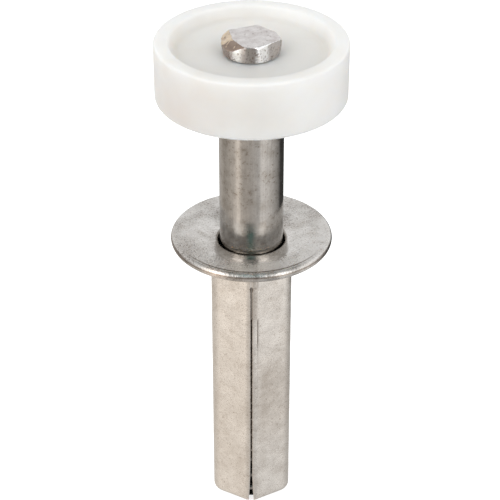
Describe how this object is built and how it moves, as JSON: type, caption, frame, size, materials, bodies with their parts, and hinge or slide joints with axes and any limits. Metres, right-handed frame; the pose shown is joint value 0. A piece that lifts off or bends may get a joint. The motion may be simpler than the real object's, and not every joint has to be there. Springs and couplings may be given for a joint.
{
  "type": "bifold door guide wheel",
  "caption": "White nylon guide wheel on a spring-loaded steel plunger that slides in a hexagonal folded sheet barrel with a round hemmed flange.",
  "frame": {"origin": "on the axis, at the underside of the flange, which seats on the door's top edge", "axes": "+Z along the axis from the barrel to the wheel, the barrel's seam at its corner on -Y, a pair of flats square to X"},
  "size_m": [0.0254, 0.0254, 0.0735],
  "materials": {
    "plated_sheet": "satin zinc plate with a fine mottle",
    "turned_steel": "bright turned steel, lightly scuffed",
    "nylon": "white translucent nylon, satin",
    "spring_wire": "drawn spring wire"
  },
  "bodies": {
    "bushing": {"bushing": "plated_sheet", "spring": "spring_wire"},
    "plunger": {"plunger": "turned_steel"},
    "wheel": {"wheel": "nylon"}
  },
  "joints": [
    {"name": "plunger_slide", "type": "slide", "parent": "bushing", "child": "plunger", "axis": [0, 0, -1], "range_m": [0, 0.02], "stiffness_N_per_m": 1400, "springref_m": -0.006, "deforming": ["spring"]},
    {"name": "wheel_spin", "type": "hinge", "parent": "plunger", "child": "wheel", "pos_m": [0, 0, 0.02642], "axis": [0, 0, 1], "continuous": true}
  ]
}
